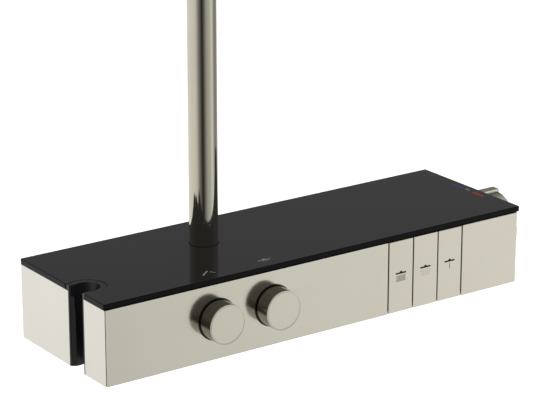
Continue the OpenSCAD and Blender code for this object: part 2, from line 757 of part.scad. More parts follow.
module shower_arm() color(nickel) difference() {
    union() {
        translate([0, pole_y, hub_low]) cylinder(r = hub_r, h = hub_top - hub_low - 1);
        translate([0, pole_y, hub_top - 1]) cylinder(r1 = hub_r, r2 = hub_r - 1, h = 1);
        arm_tube(arm_bend, arm_r, pole_y - 8, arm_end);
        translate([0, head_y, arm_end]) cylinder(r = spigot_r, h = collar_t);
    }
    translate([0, pole_y, hub_low - cut]) cylinder(r = core_r + fit, h = arm_z + 16 - hub_low + cut);
    arm_tube(arm_bend, arm_r - arm_wall, pole_y - hub_r + 2, arm_end - cut);
    for (i = [-1 : 1])
        y_rod(0, arm_z + i * channel, arm_line_od / 2, pole_y - hub_r - cut, pole_y - core_r + 1);
}

module arm_lines() color("white")
    for (i = [-1 : 1]) difference() {
        arm_tube(arm_bend + i * channel, arm_line_od / 2, pole_y - core_r - 1.2, arm_end);
        arm_tube(arm_bend + i * channel, arm_line_od / 2 - 0.8, pole_y - core_r, arm_end - cut);
    }

// ---- rain head ----
nut_h = 16;
nut_low = arm_end - nut_h + 7;
collar_t = 4;                  // collar at the end of the arm, which the nut pulls down
module head_nut() color(nickel) translate([0, head_y, 0]) difference() {
    translate([0, 0, nut_low]) cylinder(r = arm_r + 5, h = nut_h);
    translate([0, 0, nut_low - cut]) cylinder(r = spigot_r, h = arm_end + collar_t + gap - nut_low + cut);
    translate([0, 0, arm_end]) cylinder(r = arm_r + fit, h = nut_h);
}

mat_t = 1.5;
manifold_r = 34;
mat_top = head_low + plate_t + mat_t;
channel_z = mat_top + 2;
module head_manifold() color(black) difference() {
    translate([0, head_y, 0]) {
        translate([0, 0, head_top - shell_t - cut])
            cylinder(r = spigot_r, h = arm_end - head_top + shell_t + cut);
        translate([0, 0, mat_top]) cylinder(r = manifold_r, h = head_top - shell_t - mat_top);
    }
    for (i = [-1 : 1]) translate([0, head_y + i * channel, channel_z])
        cylinder(r = 2.2, h = arm_end - channel_z + cut);
    x_rod(head_y, channel_z + 0.5, 1, 0, manifold_r + cut);
    y_rod(0, channel_z + 0.5, 1, head_y + channel, head_y + manifold_r + cut);
    translate([0, head_y - channel, channel_z - 5]) cylinder(r = 1.5, h = 8);
}

module head_shell() color(nickel) translate([0, head_y, 0]) rotate_extrude()
    polygon([[spigot_r + fit, head_top - shell_t], [head_r - shell_t, head_top - shell_t],
        [head_r - shell_t, head_low], [head_r, head_low], [head_r, head_top - 1.5],
        [head_r - 1.5, head_top], [arm_r + 9, head_top], [arm_r + 7, head_top + 1.5],
        [arm_r + 5, nut_low - gap], [spigot_r + fit, nut_low - gap]]);

module holes(r, z0, z1) {
    for (zone = ZONES, k = [0 : zone[1] - 1])
        rotate(k * 360 / zone[1]) translate([zone[0], 0, z0]) cylinder(r = r, h = z1 - z0, $fn = 24);
}

module spray_plate() color(steel) translate([0, head_y, head_low]) difference() {
    cylinder(r = plate_r, h = plate_t);
    holes(nozzle_r + fit, -cut, plate_t + cut);
}

module nozzle_mat() color(black) translate([0, head_y, head_low]) difference() {
    union() {
        translate([0, 0, plate_t]) cylinder(r = plate_r - 1, h = mat_t);
        holes(nozzle_r, -1.5, plate_t + mat_t / 2);
    }
    holes(0.5, -2, plate_t + mat_t + 1);
}

// ---- moving pieces ----
knob_l = knob_out - ring_t - knob_seam;
knob_wall = 2.5;
knob_hub_r = 8;
knob_edge = 0.4;
spindle_in = 12;               // depth of the spindle in its knob
module knob(x) translate([x, y_front - ring_t - knob_seam, knob_z]) rotate([90, 0, 0]) difference() {
    rotate_extrude() polygon([[0, 0], [knob_r - knob_edge, 0], [knob_r, knob_edge],
        [knob_r, knob_l - knob_edge], [knob_r - knob_edge, knob_l], [0, knob_l]]);
    translate([0, 0, -cut]) ring(knob_r - knob_wall, knob_hub_r, knob_l - knob_wall + cut);
    translate([0, 0, -cut]) cylinder(r = spindle_r, h = spindle_in + cut);
}

// splined spindle with the moving ceramic disc
module spindle(x) {
    y_rod(x, knob_z, spindle_r, y_front - ring_t - knob_seam - spindle_in,
        block_front + disc_y[0] + gap);
    difference() {
        y_rod(x, knob_z, disc_r, block_front + disc_y[0] + gap, block_front + disc_y[1] - gap);
        y_rod(x + 4, knob_z, disc_port_r, block_front + disc_y[0] + cut, block_front + disc_y[1] + cut);
    }
}

module hand_knob() color(nickel) knob(hand_x);
module hand_spindle() color("ivory") spindle(hand_x);
module head_knob() color(nickel) knob(head_x);
module head_spindle() color("ivory") spindle(head_x);

module button(i) {
    x0 = buttons_x + i * button_pitch + button_gap / 2;
    xm = buttons_x + (i + 0.5) * button_pitch;
    difference() {
        box(x0, x0 + button_w, y_front, y_front + button_deep, -button_h / 2, button_h / 2);
        box(x0 + 1.6, x0 + button_w - 1.6, y_front + 2, y_front + button_deep + cut,
            -button_h / 2 + 1.6, button_h / 2 - 1.6);
    }
    y_rod(xm, 0, boss_r, y_front + 1.5, guide_y + guide_t - 0.5);
    y_rod(xm, 0, plunger_r, y_front + 5, select_front + 12);
}

module full_button() color(nickel) button(0);
module soft_button() color(nickel) button(1);
module jet_button() color(nickel) button(2);

safety_w = 6;
safety_l = 12;
safety_stem_r = 2;
safety_x = temp_end - 16;
module temperature_knob() color(nickel) difference() {
    union() {
        translate([temp_x, temp_y, 0]) rotate([0, 90, 0]) rotate_extrude()
            polygon([[0, 0], [temp_r - 0.5, 0], [temp_r, 0.5], [temp_r, temp_knob_l - 1],
                [temp_r - 1, temp_knob_l], [0, temp_knob_l]]);
        box(temp_x + 4, temp_end, temp_y - rib_w / 2, temp_y + rib_w / 2, temp_r - 4, temp_r + rib_h);
    }
    // hollow shell round a central hub
    translate([temp_x - cut, temp_y, 0]) rotate([0, 90, 0]) ring(temp_r - 6.5, 10, temp_knob_l - 3 + cut);
    x_rod(temp_y, 0, temp_spindle_r, temp_x - cut, temp_x + 16);
    x_rod(temp_y, 0, temp_r - 5.5, temp_end - 1.5, temp_end + cut);
    box(safety_x - safety_l / 2 - gap, safety_x + safety_l / 2 + gap, temp_y - safety_w / 2 - gap,
        temp_y + safety_w / 2 + gap, temp_r - 3, temp_r + rib_h + cut);
    translate([safety_x, temp_y, temp_r - 9]) cylinder(r = safety_stem_r + fit, h = 9);
}

module knob_end_cap() color(nickel)
    x_rod(temp_y, 0, temp_r - 5.5, temp_end - 1.5, temp_end + 0.2);

module temperature_spindle() color("ivory") {
    x_rod(temp_y, 0, temp_spindle_r, x_right - 25, temp_x + 16);
}

module safety_button() color(nickel) {
    box(safety_x - safety_l / 2, safety_x + safety_l / 2, temp_y - safety_w / 2, temp_y + safety_w / 2,
        temp_r - 0.5, temp_r + rib_h + 0.4);
    translate([safety_x, temp_y, temp_r - 9]) cylinder(r = safety_stem_r, h = 9);
}

wall_plate();
chassis();
plate_screws();
glass_shelf();
glass_pads();
handset_holder();
front_panel();
front_panel_right();
left_panel_front();
left_panel_rear();
right_panel();
bottom_cover();
cover_screws();
button_guide();
inlet_nuts();
inlet_filters();
check_valves();
hot_pipe();
cold_pipe();
thermostat_body();
thermostat_cartridge();
stop_ring();
mixed_pipe();
valve_block();
hand_cartridge();
head_cartridge();
knob_rings();
hand_pipe();
hose_outlet();
head_pipe();
select_block();
select_cartridges();
button_springs();
spray_lines();
riser_socket();
riser_pipe();
riser_seals();
bracket_base();
bracket_arm();
bracket_cover();
swivel_core();
swivel_seals();
hand_knob();
hand_spindle();
head_knob();
head_spindle();
full_button();
soft_button();
jet_button();
temperature_knob();
temperature_spindle();
knob_end_cap();
safety_button();
shower_arm();
arm_lines();
head_nut();
head_manifold();
head_shell();
spray_plate();
nozzle_mat();
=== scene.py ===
# %% [markdown]
# # A thermostatic shower column, from its solid model to its finished looks
# The solid model gives every piece its true size and place. This lesson adds what the eye needs:
# broken edges, printed symbols, threads and nozzles, and a material for every surface.
# One unit is one metre, X runs along the shelf, -Y faces the user and Z points up.

# %% Load the solid model
import math
import bmesh
import bpy
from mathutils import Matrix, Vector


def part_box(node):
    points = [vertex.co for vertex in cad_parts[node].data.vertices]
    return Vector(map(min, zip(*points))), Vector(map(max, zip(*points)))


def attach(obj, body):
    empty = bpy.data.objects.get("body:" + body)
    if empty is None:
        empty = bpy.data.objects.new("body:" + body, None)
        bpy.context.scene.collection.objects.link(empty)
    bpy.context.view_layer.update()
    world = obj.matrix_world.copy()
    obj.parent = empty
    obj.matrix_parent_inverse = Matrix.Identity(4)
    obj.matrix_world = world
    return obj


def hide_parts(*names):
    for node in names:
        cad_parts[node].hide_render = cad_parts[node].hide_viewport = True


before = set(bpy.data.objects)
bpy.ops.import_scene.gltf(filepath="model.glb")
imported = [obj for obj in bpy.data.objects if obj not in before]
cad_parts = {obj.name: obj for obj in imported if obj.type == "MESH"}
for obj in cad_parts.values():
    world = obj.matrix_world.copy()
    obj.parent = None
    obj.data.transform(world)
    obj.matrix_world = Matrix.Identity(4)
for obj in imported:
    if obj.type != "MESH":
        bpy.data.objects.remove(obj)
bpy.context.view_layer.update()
MM = 0.001

# %% [markdown]
# ## The camera
# A product picture is taken from a distance with a long lens, which keeps the shelf's edges almost
# parallel. The camera stands 2.5 m away, to the left of the shelf and a little above it. Its place
# and turn are typed in, because a camera aimed by a constraint would be harder to keep level.

# %% The camera
bpy.ops.object.select_all(action="DESELECT")
bpy.ops.object.camera_add(location=(-1.2641, -1.9855, 0.8489),
                          rotation=[math.radians(a) for a in (71.724, 0, -35.07)])
camera = bpy.context.object
camera.name = "product_camera"
camera.data.sensor_width = 36
camera.data.lens = 157.2
bpy.context.scene.camera = camera
bpy.context.scene.view_settings.view_transform = "Standard"
print("lens", camera.data.lens, "mm")

# %% [markdown]
# ## Small tools
# Colours are picked as the hex values that a paint program shows, so one function turns them into
# the linear numbers that a shader works with. One more function adds a node, sets it and links it.
# The others keep modelling safe: an operator acts on everything that is selected, so each step
# starts with nothing selected, and faces or edges are then picked by where they are.

# %% Small tools
def linear(code):
    parts = [int(code[i:i + 2], 16) / 255 for i in (0, 2, 4)]
    return [p / 12.92 if p <= 0.04045 else ((p + 0.055) / 1.055) ** 2.4 for p in parts] + [1]


def node(tree, kind, inputs=None, **settings):
    made = tree.nodes.new("ShaderNode" + kind)
    for name, value in settings.items():
        setattr(made, name, value)
    for name, value in (inputs or {}).items():
        if isinstance(value, bpy.types.NodeSocket):
            tree.links.new(value, made.inputs[name])
        else:
            made.inputs[name].default_value = value
    return made


def start(add, **settings):
    bpy.ops.object.select_all(action="DESELECT")
    add(**settings)
    bpy.ops.object.transform_apply(location=True, rotation=True, scale=True)
    return bpy.context.object


def only(piece):
    bpy.ops.object.select_all(action="DESELECT")
    piece.select_set(True)
    bpy.context.view_layer.objects.active = piece
    return piece


def pick_faces(piece, test):
    only(piece)
    bpy.ops.object.mode_set(mode="EDIT")
    bpy.ops.mesh.select_mode(type="FACE")
    bpy.ops.mesh.select_all(action="DESELECT")
    mesh = bmesh.from_edit_mesh(piece.data)
    for face in mesh.faces:
        face.select_set(test(face.calc_center_median(), face.normal))
    bmesh.update_edit_mesh(piece.data)
    return sum(face.select for face in mesh.faces)


def pick_edges(piece, test):
    only(piece)
    bpy.ops.object.mode_set(mode="EDIT")
    bpy.ops.mesh.select_mode(type="EDGE")
    bpy.ops.mesh.select_all(action="DESELECT")
    mesh = bmesh.from_edit_mesh(piece.data)
    for edge in mesh.edges:
        edge.select_set(test(edge.verts[0].co, edge.verts[1].co))
    bmesh.update_edit_mesh(piece.data)
    return sum(edge.select for edge in mesh.edges)


def back_to_object():
    bpy.ops.object.mode_set(mode="OBJECT")


def add_modifier(piece, kind, **settings):
    only(piece)
    modifier = piece.modifiers.new(kind.lower(), kind)
    for name, value in settings.items():
        setattr(modifier, name, value)
    bpy.ops.object.modifier_apply(modifier=modifier.name)


def join(pieces, name):
    bpy.ops.object.select_all(action="DESELECT")
    for piece in pieces:
        piece.select_set(True)
    bpy.context.view_layer.objects.active = pieces[0]
    if len(pieces) > 1:
        bpy.ops.object.join()
    pieces[0].name = name
    return pieces[0]


def finish_piece(piece, name, body, material, replaces=(), smooth=35):
    only(piece)
    bpy.ops.object.mode_set(mode="EDIT")
    bpy.ops.mesh.select_all(action="SELECT")
    bpy.ops.mesh.normals_make_consistent(inside=False)
    bpy.ops.object.mode_set(mode="OBJECT")
    bpy.ops.object.shade_smooth_by_angle(angle=math.radians(smooth))
    add_modifier(piece, "WEIGHTED_NORMAL", mode="FACE_AREA", weight=50, keep_sharp=True)
    piece.name = name
    piece.data.name = name
    piece.data.materials.clear()
    piece.data.materials.append(material)
    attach(piece, body)
    if replaces:
        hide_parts(*replaces)
    return piece


print("tools ready")

# %% [markdown]
# ## Brushed nickel
# The housing, knobs, pole and arm are brass or zinc, nickel plated, then brushed and lacquered. To
# the eye that is a warm grey mirror that blurs: near things reflect fairly sharply, far things melt.
# Real brush lines lie about 0.05 mm apart, too fine to see from here, so the noise is drawn as
# streaks 0.6 mm across and up to 30 mm long. They change the roughness and tilt the surface a
# little. Brushing follows the piece, so there is one finish along X, one along Z and one along the
# arm. The pole, the arm and the knob barrels get the same nickel painted darker, as painted shade.
# Knobs and the rain head are turned on a lathe: their lines are rings round their own axis.

# %% Brushed nickel
def object_coordinates(tree):
    return tree.nodes.new("ShaderNodeTexCoord").outputs["Object"]


def new_material(name):
    material = bpy.data.materials.new(name)
    material.use_nodes = True
    tree = material.node_tree
    return material, tree, tree.nodes["Principled BSDF"]


def brushed_metal(name, low, high, streaks, rough, bump=0.04):
    """streaks: how many millimetres one streak spans along X, Y and Z; rough: (least, most)"""
    material, tree, shader = new_material(name)
    place = object_coordinates(tree)
    fine = node(tree, "Mapping", {"Vector": place, "Scale": [1 / (s * MM) for s in streaks]})
    grain = node(tree, "TexNoise", {"Vector": fine.outputs[0], "Scale": 1.0, "Detail": 3.0})
    cloud = node(tree, "TexNoise", {"Vector": place, "Scale": 1 / (90 * MM), "Detail": 2.0})
    blend = node(tree, "Math", {0: grain.outputs["Fac"], 1: cloud.outputs["Fac"]}, operation="ADD")
    share = node(tree, "MapRange", {"Value": blend.outputs[0], "From Min": 0.7, "From Max": 1.3})
    colour = node(tree, "ValToRGB", {"Fac": share.outputs["Result"]})
    colour.color_ramp.elements[0].color = linear(low)
    colour.color_ramp.elements[1].color = linear(high)
    roughness = node(tree, "MapRange", {"Value": grain.outputs["Fac"], "From Min": 0.3, "From Max": 0.7,
                                        "To Min": rough[0], "To Max": rough[1]})
    relief = node(tree, "Bump", {"Height": grain.outputs["Fac"], "Strength": bump, "Distance": 0.1 * MM})
    shader.inputs["Metallic"].default_value = 1.0
    tree.links.new(colour.outputs["Color"], shader.inputs["Base Color"])
    tree.links.new(roughness.outputs["Result"], shader.inputs["Roughness"])
    tree.links.new(relief.outputs["Normal"], shader.inputs["Normal"])
    return material


def turned_metal(name, low, high, centre, axis, ring_mm, rough, bump=0.05):
    """lathe lines: rings round an axis through centre, one every ring_mm"""
    material, tree, shader = new_material(name)
    place = node(tree, "Mapping", {"Vector": object_coordinates(tree), "Location": [-c for c in centre]})
    ripple = node(tree, "TexWave", {"Vector": place.outputs[0], "Scale": 0.314 / (ring_mm * MM),
                                    "Distortion": 1.5, "Detail": 2.0, "Detail Scale": 2.0},
                  wave_type="RINGS", rings_direction=axis)
    cloud = node(tree, "TexNoise", {"Vector": place.outputs[0], "Scale": 1 / (25 * MM), "Detail": 3.0})
    share = node(tree, "Math", {0: ripple.outputs["Fac"], 1: cloud.outputs["Fac"]}, operation="MULTIPLY")
    colour = node(tree, "ValToRGB", {"Fac": share.outputs[0]})
    colour.color_ramp.elements[0].color = linear(low)
    colour.color_ramp.elements[1].color = linear(high)
    roughness = node(tree, "MapRange", {"Value": share.outputs[0],
                                        "To Min": rough[0], "To Max": rough[1]})
    relief = node(tree, "Bump", {"Height": ripple.outputs["Fac"], "Strength": bump,
                                 "Distance": 0.05 * MM})
    shader.inputs["Metallic"].default_value = 1.0
    tree.links.new(colour.outputs["Color"], shader.inputs["Base Color"])
    tree.links.new(roughness.outputs["Result"], shader.inputs["Roughness"])
    tree.links.new(relief.outputs["Normal"], shader.inputs["Normal"])
    return material


def middle(name):
    low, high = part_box(name)
    return (low + high) / 2


nickel_along = brushed_metal("brushed_nickel_plate", "d5d0c2", "d9d4c7", (40, 8, 0.6),
                             (0.14, 0.18), 0.02)
nickel_depth = brushed_metal("brushed_nickel_end_plate", "d4d0c9", "d8d4cd", (8, 40, 0.6),
                             (0.15, 0.2), 0.02)
nickel_key = brushed_metal("brushed_nickel_key", "d5d0c2", "d9d4c7", (40, 8, 0.6), (0.14, 0.18), 0.02)
# the pole and the arm: the same nickel as the plates, painted darker as painted shade
nickel_tube_painted_shade = brushed_metal("brushed_nickel_tube_painted_shade", "bdb8a8", "c3beaf", (0.6, 0.6, 40),
                            (0.06, 0.11), 0.02)
nickel_arm_painted_shade = brushed_metal("brushed_nickel_arm_painted_shade", "bdb8a8", "c3beaf", (0.6, 40, 0.6), (0.06, 0.11), 0.02)
nickel_hand = turned_metal("turned_nickel_hand_knob", "d3cec0", "dbd6c9", middle("hand_knob"), "Y",
                           0.5, (0.12, 0.18))
nickel_rain = turned_metal("turned_nickel_head_knob", "d3cec0", "dbd6c9", middle("head_knob"), "Y",
                           0.5, (0.12, 0.18))
nickel_wheel = turned_metal("turned_nickel_wheel", "cfcabb", "d7d2c4", middle("knob_end_cap"), "X",
                            0.6, (0.12, 0.2))
# the knob barrels: the same nickel as the knob discs, painted darker as painted shade
nickel_barrel_painted_shade = brushed_metal("turned_nickel_barrel_painted_shade", "a39e91", "b3aea1", (12, 0.5, 12),
                              (0.12, 0.18), 0.03)
nickel_head = turned_metal("turned_nickel_head", "cbc6b7", "d3cec0", middle("head_shell"), "Z",
                           1.2, (0.14, 0.22))
print("nickel finishes:", 10)

# %% [markdown]
# ## Black glass
# The shelf is 6 mm toughened glass with black enamel fired on its back. Seen from above it is deep
# black with a clear mirror on top, because the light that gets in never comes back. So it is an
# opaque dark shader with the reflection of glass, IOR 1.5, and almost no roughness. Faint smears
# from wiping, some 60 mm wide, vary the polish slightly.

# %% Black glass
black_glass, tree, shader = new_material("back_enamelled_glass")
place = object_coordinates(tree)
smears = node(tree, "TexNoise", {"Vector": place, "Scale": 1 / (60 * MM), "Detail": 4.0})
polish = node(tree, "MapRange", {"Value": smears.outputs["Fac"], "From Min": 0.35, "From Max": 0.75,
                                 "To Min": 0.012, "To Max": 0.04})
depth = node(tree, "ValToRGB", {"Fac": smears.outputs["Fac"]})
depth.color_ramp.elements[0].color = linear("0a0a0b")
depth.color_ramp.elements[1].color = linear("101011")
tree.links.new(depth.outputs["Color"], shader.inputs["Base Color"])
tree.links.new(polish.outputs["Result"], shader.inputs["Roughness"])
shader.inputs["IOR"].default_value = 1.5
print("glass top ready")

# %% [markdown]
# The edge of the sheet is ground with a fine belt and left matt, so it mirrors far less than the
# top. It is a second material on the same piece.

# %% The ground edge of the glass
ground_edge, tree, shader = new_material("ground_glass_edge")
belt = node(tree, "TexNoise", {"Vector": object_coordinates(tree), "Scale": 1 / (1.2 * MM), "Detail": 3.0})
dull = node(tree, "MapRange", {"Value": belt.outputs["Fac"], "From Min": 0.3, "From Max": 0.7,
                               "To Min": 0.16, "To Max": 0.26})
shade = node(tree, "ValToRGB", {"Fac": belt.outputs["Fac"]})
shade.color_ramp.elements[0].color = linear("070708")
shade.color_ramp.elements[1].color = linear("0b0b0c")
tree.links.new(shade.outputs["Color"], shader.inputs["Base Color"])
tree.links.new(dull.outputs["Result"], shader.inputs["Roughness"])
shader.inputs["Specular IOR Level"].default_value = 0.1
print("glass edge ready")

# %% [markdown]
# ## Moulded, cast and drawn materials
# The rest is engineering material. Injection-moulded plastic takes the fine sparked texture of its
# mould, zinc plate shows soft clouds, cast brass a fine sandy skin, silicone a powdery look. Each
# is one recipe: a grain of a real size in millimetres that moves colour, roughness and relief.

# %% Moulded, cast and drawn materials
def grained(name, low, high, grain_mm, rough, metallic=0.0, ior=1.5, bump=0.15, relief_mm=0.05):
    material, tree, shader = new_material(name)
    place = object_coordinates(tree)
    grain = node(tree, "TexNoise", {"Vector": place, "Scale": 1 / (grain_mm * MM), "Detail": 4.0})
    colour = node(tree, "ValToRGB", {"Fac": grain.outputs["Fac"]})
    colour.color_ramp.elements[0].position, colour.color_ramp.elements[1].position = 0.3, 0.7
    colour.color_ramp.elements[0].color = linear(low)
    colour.color_ramp.elements[1].color = linear(high)
    roughness = node(tree, "MapRange", {"Value": grain.outputs["Fac"], "From Min": 0.3, "From Max": 0.7,
                                        "To Min": rough[0], "To Max": rough[1]})
    relief = node(tree, "Bump", {"Height": grain.outputs["Fac"], "Strength": bump,
                                 "Distance": relief_mm * MM})
    shader.inputs["Metallic"].default_value = metallic
    shader.inputs["IOR"].default_value = ior
    tree.links.new(colour.outputs["Color"], shader.inputs["Base Color"])
    tree.links.new(roughness.outputs["Result"], shader.inputs["Roughness"])
    tree.links.new(relief.outputs["Normal"], shader.inputs["Normal"])
    return material


# glass-filled nylon, spark-eroded mould: a dark grey that stays soft at grazing light
holder_nylon = grained("moulded_black_nylon", "1a1a1a", "222222", 0.8, (0.34, 0.46))
# acetal slide rings: nearly black and a little glossy; their black also stands for the painted shade in
# the gap between each knob and the panel
ring_acetal_and_gap_shade = grained("black_acetal_and_gap_shade", "080808", "0d0d0d", 2.0, (0.18, 0.28), bump=0.05)
# passivated zinc on pressed steel: cool grey with cloudy spangle about 6 mm wide
zinc_plate = grained("zinc_plated_steel", "a9adb0", "c3c6c8", 6.0, (0.3, 0.45), metallic=1.0, bump=0.05)
# drawn stainless steel
stainless = grained("drawn_stainless_steel", "b9b7b2", "cbc9c4", 1.5, (0.2, 0.32), metallic=1.0,
                    bump=0.06)
# cast and turned brass, sand grain about 0.5 mm
cast_brass = grained("cast_brass", "b98f4e", "cda763", 0.5, (0.28, 0.42), metallic=1.0, bump=0.12)
# nitrile rubber of the seals and pads
seal_rubber = grained("nitrile_rubber", "0f0f0f", "191919", 0.6, (0.6, 0.75), bump=0.2)
# liquid silicone of the spray nozzles: soft matt grey
nozzle_silicone = grained("liquid_silicone", "3c3c3b", "474745", 0.6, (0.5, 0.62), ior=1.41)
# cross-linked polyethylene hoses: milky white
line_pex = grained("white_polyethylene_tube", "dcdcd6", "e8e8e3", 2.5, (0.35, 0.45), bump=0.05)
# alumina discs and their carriers
alumina = grained("ground_alumina", "d8d4c8", "e6e2d8", 0.4, (0.3, 0.4), bump=0.08)
# screen-print inks lie some 0.02 mm thick and have a slight tooth
ink_black = grained("black_screen_ink", "161616", "222222", 0.5, (0.5, 0.6), bump=0.05)
ink_grey = grained("grey_screen_ink", "827f72", "8f8c7f", 0.5, (0.5, 0.6), bump=0.05)
ink_silver = grained("silver_screen_ink", "9aa0a6", "b4b9be", 0.5, (0.35, 0.45), metallic=0.6, bump=0.05)
ink_red = grained("red_screen_ink", "b00a20", "bc1028", 0.5, (0.4, 0.5), bump=0.05)
ink_blue = grained("blue_screen_ink", "2c2f8c", "35389c", 0.5, (0.4, 0.5), bump=0.05)
print("materials so far:", len(bpy.data.materials))

# %% [markdown]
# ## Dress the pieces that keep their solid shape
# Most inner pieces already have the right shape, so they only change their material. The list goes
# by what each is made of, and a check at its end makes sure that no piece was forgotten.

# %% Dress the pieces that keep their solid shape
made_of = {
    nickel_along: "front_panel front_panel_right bottom_cover bracket_cover",
    nickel_depth: "left_panel_front left_panel_rear right_panel bracket_arm",
    nickel_hand: "hand_knob",
    nickel_rain: "head_knob",
    nickel_key: "full_button soft_button jet_button",
    nickel_wheel: "temperature_knob knob_end_cap safety_button",
    nickel_tube_painted_shade: "riser_pipe",
    nickel_arm_painted_shade: "shower_arm",
    nickel_head: "head_nut head_shell",
    black_glass: "glass_shelf",
    holder_nylon: "handset_holder button_guide stop_ring select_cartridges thermostat_cartridge "
                  "check_valves head_manifold",
    ring_acetal_and_gap_shade: "knob_rings",
    zinc_plate: "wall_plate chassis bracket_base",
    stainless: "plate_screws cover_screws inlet_filters hand_pipe head_pipe button_springs "
               "hand_cartridge head_cartridge spray_plate",
    cast_brass: "inlet_nuts hot_pipe cold_pipe thermostat_body mixed_pipe valve_block hose_outlet "
                "select_block riser_socket swivel_core",
    seal_rubber: "glass_pads riser_seals swivel_seals",
    nozzle_silicone: "nozzle_mat",
    line_pex: "spray_lines arm_lines",
    alumina: "hand_spindle head_spindle temperature_spindle",
}
material_of = {name: material for material, names in made_of.items() for name in names.split()}
for name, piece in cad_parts.items():
    piece.data.materials.clear()
    piece.data.materials.append(material_of[name])
print("dressed:", len(material_of), "left out:", set(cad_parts) - set(material_of))

# %% [markdown]
# ## Broken edges
# No real plate has a knife edge. Folding, casting and polishing leave a radius of a few tenths of a
# millimetre, and that thin line catches the light and makes a shape look solid. Each visible plate
# is copied from its solid, its loose triangles are merged back into whole faces, and a Bevel rounds
# every edge sharper than 30 degrees. The copy then stands for the solid.

# %% Broken edges
def softened(source, body, width_mm, segments=3, sharp=30):
    piece = bpy.data.objects.new(source + "_finished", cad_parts[source].data.copy())
    bpy.context.scene.collection.objects.link(piece)
    only(piece)
    bpy.ops.object.mode_set(mode="EDIT")
    bpy.ops.mesh.select_all(action="SELECT")
    bpy.ops.mesh.remove_doubles(threshold=0.002 * MM)
    bpy.ops.mesh.dissolve_limited(angle_limit=math.radians(0.5))
    back_to_object()
    add_modifier(piece, "BEVEL", width=width_mm * MM, segments=segments, limit_method="ANGLE",
                 angle_limit=math.radians(sharp), use_clamp_overlap=True, harden_normals=False)
    return finish_piece(piece, source + "_finished", body, material_of[source], [source])


edges = {
    "front_panel": ("column", 0.45), "front_panel_right": ("column", 0.45),
    "left_panel_front": ("column", 0.35), "left_panel_rear": ("column", 0.35),
    "right_panel": ("column", 0.35), "glass_shelf": ("column", 0.7),
    "handset_holder": ("column", 0.35), "bracket_cover": ("column", 0.8),
    "bracket_arm": ("column", 0.5), "full_button": ("full_key", 0.55),
    "soft_button": ("soft_key", 0.55), "jet_button": ("jet_key", 0.55),
    "temperature_knob": ("temperature_control", 0.6), "knob_end_cap": ("temperature_control", 0.15),
    "safety_button": ("safety_key", 0.5), "shower_arm": ("swing_arm", 0.5),
    "head_nut": ("swing_arm", 0.6), "head_shell": ("swing_arm", 0.6),
}
for source, (body, width) in edges.items():
    piece = softened(source, body, width)
    print(source, "faces:", len(piece.data.polygons))

shelf = bpy.data.objects["glass_shelf_finished"]
shelf.data.materials.append(ground_edge)
for face in shelf.data.polygons:
    face.material_index = 0 if face.normal.z > 0.9 else 1
print("ground faces:", sum(face.material_index for face in shelf.data.polygons))

# %% [markdown]
# ## The two volume knobs
# A knob is a turned cap: a satin barrel 42 mm across, a thin bright chamfer at its front, and inside
# that a fine groove where the front disc is pressed in. A cylinder is the start. Its front face is
# inset for the chamfer and again for the groove, which is pushed in, and the back is hollowed. The
# barrel is turned coarser than the disc and has its own finish, the same nickel painted darker as painted
# shade.

# %% The two volume knobs
def volume_knob(source, body):
    low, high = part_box(source)
    centre_x, centre_z = (low.x + high.x) / 2, (low.z + high.z) / 2
    radius, length = (high.x - low.x) / 2, high.y - low.y
    knob = start(bpy.ops.mesh.primitive_cylinder_add, vertices=128, radius=radius, depth=length,
                 location=(centre_x, (low.y + high.y) / 2, centre_z), rotation=(math.pi / 2, 0, 0))
    pick_faces(knob, lambda c, n: n.y < -0.9)
    bpy.ops.mesh.bevel(offset=0.45 * MM, segments=2, affect="EDGES")
    back_to_object()
    for width, move in ((0.7, 0), (0.12, 0.35), (0.18, 0), (0.12, -0.35)):
        pick_faces(knob, lambda c, n: n.y < -0.9 and abs(c.x - centre_x) < 1 * MM
                   and abs(c.z - centre_z) < 1 * MM)
        bpy.ops.mesh.inset(thickness=width * MM)
        bpy.ops.transform.translate(value=(0, move * MM, 0))
        back_to_object()
    pick_faces(knob, lambda c, n: n.y > 0.9)
    bpy.ops.mesh.inset(thickness=2.5 * MM)
    bpy.ops.mesh.extrude_region_move(TRANSFORM_OT_translate={"value": (0, -12 * MM, 0)})
    back_to_object()
    knob = finish_piece(knob, source + "_turned", body, material_of[source], [source], 25)
    # the barrel sides take the darker nickel, which is painted shade
    knob.data.materials.append(nickel_barrel_painted_shade)
    for face in knob.data.polygons:
        face.material_index = 1 if abs(face.normal.y) < 0.1 else 0
    return knob


for source, body in (("hand_knob", "hand_control"), ("head_knob", "head_control")):
    print(volume_knob(source, body).name, "diameter mm:",
          round(1000 * (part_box(source)[1].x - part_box(source)[0].x), 1))

# %% [markdown]
# ## Printed symbols
# The three buttons and the glass carry small printed signs. Ink is a film, so each sign is a flat
# shape a few hundredths of a millimetre thick that lies on its surface: a bar with a hub for the
# shower head, and fine strokes for the water. A stroke is a cube squashed to size. Long bars
# get rounded ends, and the strokes of one sign are joined.

# %% Strokes of ink
INK = 0.03 * MM


def stroke(x, y, z, size_x, size_y, size_z, turn=0.0):
    """a flat block of ink centred at x, y, z, turned about Z"""
    bpy.ops.object.select_all(action="DESELECT")
    bpy.ops.mesh.primitive_cube_add(size=1, location=(x, y, z), rotation=(0, 0, turn))
    piece = bpy.context.object
    piece.scale = (size_x, size_y, size_z)
    bpy.ops.object.transform_apply(location=True, rotation=True, scale=True)
    return piece


def head_sign(x, y, top, half, thick):
    """the side view of a shower head, with its hub, on a face that looks along -Y"""
    bar = stroke(x, y, top - 2.6 * MM, 2 * half, INK, thick)
    pick_edges(bar, lambda a, b: abs(a.x - b.x) < 1e-6 and abs(a.z - b.z) < 1e-6)
    bpy.ops.mesh.bevel(offset=0.4 * thick, segments=3, affect="EDGES")
    back_to_object()
    hub = stroke(x, y, top - 1.2 * MM, 4.4 * MM, INK, 2.0 * MM)
    pick_faces(hub, lambda c, n: n.z > 0.9)
    bpy.ops.transform.resize(value=(0.35, 1, 1))
    back_to_object()
    return [bar, hub]


